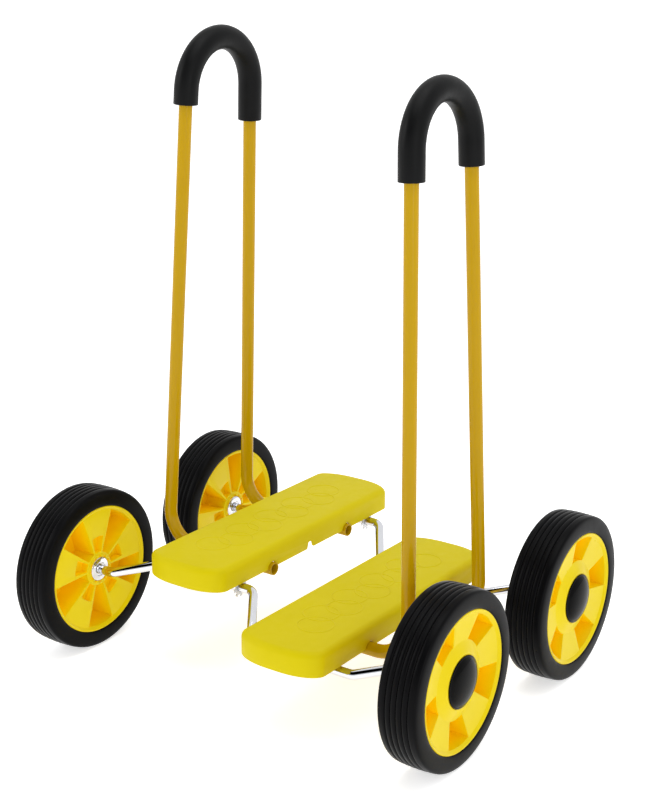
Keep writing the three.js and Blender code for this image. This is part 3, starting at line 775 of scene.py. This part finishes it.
def make_strap():
    """Pressed strap: a foot, half a ring under the tube, and the other foot."""
    inner = TUBE_RADIUS + GAP
    foot_top = BOSS_PLANE - GAP
    rise = foot_top + TUBE_BELOW
    strap = begin("tube_strap", bpy.ops.mesh.primitive_plane_add, size=MM)
    bpy.ops.mesh.merge(type="CENTER")
    bpy.ops.transform.translate(value=(-STRAP_HALF, -STRAP_REACH, rise))
    bpy.ops.mesh.extrude_vertices_move(TRANSFORM_OT_translate={"value": (2 * STRAP_HALF, 0, 0)})
    bpy.ops.mesh.select_all(action="SELECT")
    push((0, STRAP_REACH - inner, 0))
    push((0, 0, -rise))
    bpy.ops.mesh.spin(steps=20, angle=-math.pi, center=(0, 0, 0), axis=(1, 0, 0))
    push((0, 0, rise))
    push((0, STRAP_REACH - inner, 0))
    bpy.ops.mesh.select_all(action="SELECT")
    bpy.ops.mesh.remove_doubles(threshold=0.001 * MM)

    def foot_bend(edge):
        centre = middle(edge)
        return abs(centre.z - rise) < 0.1 * MM and abs(abs(centre.y) - inner) < 0.1 * MM

    pick(strap, "edges", foot_bend)
    bpy.ops.mesh.bevel(offset=1.2 * MM, segments=4, affect="EDGES")
    pick(strap, "verts", lambda v: abs(abs(v.co.y) - STRAP_REACH) < 0.1 * MM)
    bpy.ops.mesh.bevel(offset=3 * MM, segments=5, affect="VERTICES")
    bpy.ops.mesh.select_all(action="SELECT")
    bpy.ops.mesh.normals_make_consistent(inside=False)
    bpy.ops.object.mode_set(mode="OBJECT")
    upward = sum(p.normal.z * p.area for p in strap.data.polygons) > 0
    modify(strap, "SOLIDIFY", thickness=STRAP_THICKNESS, offset=-1 if upward else 1, use_even_offset=True)
    return soften(strap, 0.25 * MM, angle=50, smooth=35)


def make_bearing():
    """Nylon block round the crank pin, with an ear and a screw hole on each side."""
    top = BOSS_PLANE + TOP_ABOVE_PIN - GAP
    low = (-BEARING_HALF, -BEARING_RADIUS, -BEARING_RADIUS)
    body = block("pin_bearing", low, (BEARING_HALF, BEARING_RADIUS, top))

    def lower_edge(edge):
        below = max(v.co.z for v in edge.verts) < 0
        return below and abs((edge.verts[0].co - edge.verts[1].co).x) > BEARING_HALF

    bpy.ops.object.mode_set(mode="EDIT")
    pick(body, "edges", lower_edge)
    bpy.ops.mesh.bevel(offset=BEARING_RADIUS * 0.995, segments=12, affect="EDGES")
    bpy.ops.object.mode_set(mode="OBJECT")
    ears = block("ears", (-6 * MM, -21 * MM, top - EAR_THICKNESS), (6 * MM, 21 * MM, top))
    bpy.ops.object.mode_set(mode="EDIT")
    pick(ears, "edges", lambda e: abs((e.verts[0].co - e.verts[1].co).z) > MM)
    bpy.ops.mesh.bevel(offset=5 * MM, segments=8, affect="EDGES")
    bpy.ops.object.mode_set(mode="OBJECT")
    cut(body, ears, "UNION")
    cut(body, bar("bore", (0, 0, 0), BEARING_BORE, 3 * BEARING_HALF, "X", 36))
    return soften(body, 0.4 * MM, angle=45, smooth=35)


def make_clip():
    """Star clip: eight teeth round a dished ring."""
    steps = 6 * CLIP_TEETH
    clip = begin("star_clip", bpy.ops.mesh.primitive_circle_add, vertices=steps, radius=CLIP_RADIUS,
                 rotation=(0, math.pi / 2, 0))
    bpy.ops.mesh.select_all(action="SELECT")
    push((0, 0, 0))
    bpy.ops.transform.resize(value=(1, 0.68, 0.68), center_override=(0, 0, 0))
    bpy.ops.transform.translate(value=(0.9 * MM, 0, 0))

    def tooth(edge):
        centre = middle(edge)
        step = math.atan2(centre.z, centre.y) % math.tau / math.tau * steps
        return math.hypot(centre.y, centre.z) > 8 * MM and int(step) % 6 in (0, 1, 2)

    pick(clip, "edges", tooth)
    push((0, 0, 0))
    bpy.ops.transform.resize(value=(1, 1.32, 1.32), center_override=(0, 0, 0))
    bpy.ops.mesh.select_all(action="SELECT")
    bpy.ops.mesh.normals_make_consistent(inside=False)
    bpy.ops.object.mode_set(mode="OBJECT")
    modify(clip, "SOLIDIFY", thickness=0.8 * MM, offset=0)
    return soften(clip, 0.12 * MM, angle=50, smooth=30)


# ------------------------------------------------------------------ hand bar


def bar_points(end):
    """Open end, lower corner and foot of the arch of one leg."""
    start = Vector((BOARD_WIDTH / 2 + TUBE_END_PAST, end * LEG_LOW, -TUBE_BELOW))
    low = Vector((-TUBE_OUT_LOW, end * LEG_LOW, -TUBE_BELOW))
    shoulder = Vector((-TUBE_OUT_TOP, end * LEG_TOP, ARCH_ABOVE))
    return start, low, shoulder


def arch_turn():
    """Pivot, axis and angle of the arch, tangent to both legs."""
    _, low, shoulder = bar_points(-1)
    _, other_low, other_shoulder = bar_points(1)
    up = (shoulder - low).normalized()
    down = (other_low - other_shoulder).normalized()
    axis = up.cross(down).normalized()
    inward = axis.cross(up)
    radius = LEG_TOP / inward.y
    return shoulder + inward * radius, axis, up.angle(down)


def make_tube():
    start, low, shoulder = bar_points(-1)
    other_start, other_low, other_shoulder = bar_points(1)
    tube = ring_start("hand_bar", start, low, TUBE_RADIUS, 28)
    here = bend(start, start, low, shoulder, TUBE_BEND, 16)
    push(shoulder - here)
    spin_ring(*arch_turn(), 40)
    here = bend(other_shoulder, other_shoulder, other_low, other_start, TUBE_BEND, 16)
    push(other_start - here)
    close_up()
    modify(tube, "SOLIDIFY", thickness=TUBE_WALL, offset=-1, use_even_offset=True)
    return soften(tube, 0.25 * MM, angle=60, smooth=40)


def make_grip(shift):
    """Foam sleeve over the arch and a little way down each leg."""
    _, low, shoulder = bar_points(-1)
    _, other_low, other_shoulder = bar_points(1)
    down = (low - shoulder).normalized()
    other_down = (other_low - other_shoulder).normalized()
    start = shoulder + down * (GRIP_PAST - shift)
    finish = other_shoulder + other_down * (GRIP_PAST + shift)
    grip = ring_start("grip", start, shoulder, GRIP_RADIUS, 32)
    push(shoulder - start)
    spin_ring(*arch_turn(), 40)
    push(finish - other_shoulder)
    close_up()
    modify(grip, "SOLIDIFY", thickness=GRIP_RADIUS - TUBE_RADIUS - GAP, offset=-1, use_even_offset=True)
    return soften(grip, 0.8 * MM, segments=3, angle=60, smooth=50)


# ------------------------------------------------------------------ one side


def side_place(side):
    low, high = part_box(f"{side}_foot_board")
    origin = Vector(((low.x + high.x) / 2, (low.y + high.y) / 2, high.z))
    facing = Matrix.Rotation(math.pi, 4, "Z") if side == "right" else Matrix.Identity(4)
    return Matrix.Translation(origin) @ facing


def end_name(side, end):
    """Which end of the walker a board's own -Y or +Y end is."""
    return "front" if end * -SIDES[side] > 0 else "rear"


def make_sides():
    board, ribs, rings, tube = make_board(), make_ribs(), make_rings(), make_tube()
    strap, bearing, clip, screw = make_strap(), make_bearing(), make_clip(), make_screw()
    for side in SIDES:
        here = side_place(side)
        body = f"{side}_board"
        shell = placed(board, f"fine_{side}_foot_board", here)
        fit(shell, body, "board_yellow", BOARD_YELLOW, f"{side}_foot_board")
        fit(placed(ribs, f"fine_{side}_board_ribs", here), body, "board_yellow", BOARD_YELLOW)
        fit(placed(rings, f"fine_{side}_board_rings", here), body, "board_yellow", BOARD_YELLOW)
        tube_name = f"{side}_hand_bar"
        fit(placed(tube, f"fine_{tube_name}", here), body, "powder_coat", POWDER_COAT, tube_name)
        grip = make_grip(GRIP_SHIFT[side])
        fit(placed(grip, f"fine_{side}_grip", here), body, "foam_grip", FOAM_BLACK, f"{side}_grip")
        bpy.data.objects.remove(grip)
        for end in (-1, 1):
            name = f"{side}_{end_name(side, end)}"
            pin_y = end * PIN_SPACING
            clip_x = BOARD_WIDTH / 2 - CLIP_INSET
            at_tube = here @ Matrix.Translation((STRAP_INSET, end * LEG_LOW, -TUBE_BELOW))
            at_pin = here @ Matrix.Translation((BEARING_INSET, pin_y, -TOP_ABOVE_PIN))
            at_clip = here @ Matrix.Translation((clip_x, pin_y, -TOP_ABOVE_PIN))
            crank = f"{end_name(side, end)}_crank"
            fitted = (
                (strap, "tube_strap", at_tube, body, "zinc_steel", ZINC),
                (bearing, "pin_bearing", at_pin, body, "nylon", NYLON),
                (clip, "star_clip", at_clip, crank, "zinc_steel", ZINC),
            )
            for pattern, kind, place, carrier, slot, material in fitted:
                piece = placed(pattern, f"fine_{name}_{kind}", place)
                fit(piece, carrier, slot, material, f"{name}_{kind}")
        for x, y, kind, seat in screw_places():
            middle_y = (LEG_LOW if kind == "tube" else PIN_SPACING) * (1 if y > 0 else -1)
            letter = "a" if y > middle_y else "b"
            name = f"{side}_{end_name(side, 1 if y > 0 else -1)}_{kind}_screw_{letter}"
            at_screw = here @ Matrix.Translation((x, y, seat - GAP))
            fit(placed(screw, f"fine_{name}", at_screw), body, "zinc_steel", ZINC, name)
    for pattern in (board, ribs, rings, tube, strap, bearing, clip, screw):
        bpy.data.objects.remove(pattern)


make_wheels()
make_axles()
make_sides()

# ------------------------------------------------------------------ floor, light and camera


FLOOR_SIZE = 90
DARK_PATCH = (-0.10, -0.63, 0.77)  # the way to the dark patch in the studio
CAMERA_PLACE = (0.96922, -1.38140, 0.81988)
CAMERA_YAW_PITCH_ROLL = (34.89, 16.82, 0.55)
CAMERA_LENS = 71.577


def make_floor():
    deselect()
    bpy.ops.mesh.primitive_plane_add(size=FLOOR_SIZE, location=(0, 0, -0.2 * MM))
    floor = bpy.context.object
    floor.name = "floor"
    material = bpy.data.materials.new("pale_floor")
    material.use_nodes = True
    shader = material.node_tree.nodes["Principled BSDF"]
    shader.inputs["Base Color"].default_value = (0.92, 0.92, 0.92, 1)
    shader.inputs["Roughness"].default_value = 0.8
    shader.inputs["Emission Color"].default_value = (1, 1, 1, 1)
    shader.inputs["Emission Strength"].default_value = 0.6
    floor.data.materials.append(material)


def soft_light(name, place, target, width, height, power):
    data = bpy.data.lights.new(name, "AREA")
    data.shape = "RECTANGLE"
    data.size = width
    data.size_y = height
    data.energy = power
    light = bpy.data.objects.new(name, data)
    light.location = place
    light.rotation_mode = "QUATERNION"
    light.rotation_quaternion = (Vector(target) - Vector(place)).to_track_quat("-Z", "Y")
    bpy.context.scene.collection.objects.link(light)


def make_light():
    """A pale studio all round, with one dark patch high behind the camera that metal and gloss reflect."""
    world = bpy.data.worlds.new("studio")
    bpy.context.scene.world = world
    world.use_nodes = True
    tree = world.node_tree
    where = node(tree, "ShaderNodeTexCoord").outputs["Generated"]
    behind = node(tree, "ShaderNodeVectorMath", {0: where, 1: DARK_PATCH}, operation="DOT_PRODUCT")
    shade = ramp(tree, behind.outputs["Value"], 0.76, 0.88, 1.0, 0.0)
    background = tree.nodes["Background"]
    tree.links.new(shade, background.inputs["Color"])
    background.inputs["Strength"].default_value = 1.0
    soft_light("overhead", (0.2, -0.3, 2.4), (0, 0, 0.3), 1.6, 1.6, 19)
    soft_light("front_left", (-1.9, -1.7, 1.5), (0, 0, 0.25), 0.7, 1.6, 16)
    soft_light("right_strip", (2.3, -1.2, 0.9), (0, 0, 0.2), 0.5, 1.4, 6)


def make_camera():
    """Stands in front and to the right, a little above the hand bars, looking down at the boards."""
    yaw, pitch, roll = map(math.radians, CAMERA_YAW_PITCH_ROLL)
    back = Vector((math.sin(yaw) * math.cos(pitch), -math.cos(yaw) * math.cos(pitch), math.sin(pitch)))
    level = Vector((0, 0, 1)).cross(back).normalized()
    upright = back.cross(level)
    right = level * math.cos(roll) + upright * math.sin(roll)
    up = upright * math.cos(roll) - level * math.sin(roll)
    data = bpy.data.cameras.new("camera")
    data.sensor_width = 36
    data.lens = CAMERA_LENS
    data.clip_start = 0.05
    camera = bpy.data.objects.new("camera", data)
    turn = Matrix((right, up, back)).transposed().to_4x4()
    camera.matrix_world = Matrix.Translation(CAMERA_PLACE) @ turn
    bpy.context.scene.collection.objects.link(camera)
    bpy.context.scene.camera = camera


make_floor()
make_light()
make_camera()
bpy.context.scene.view_settings.view_transform = "Standard"
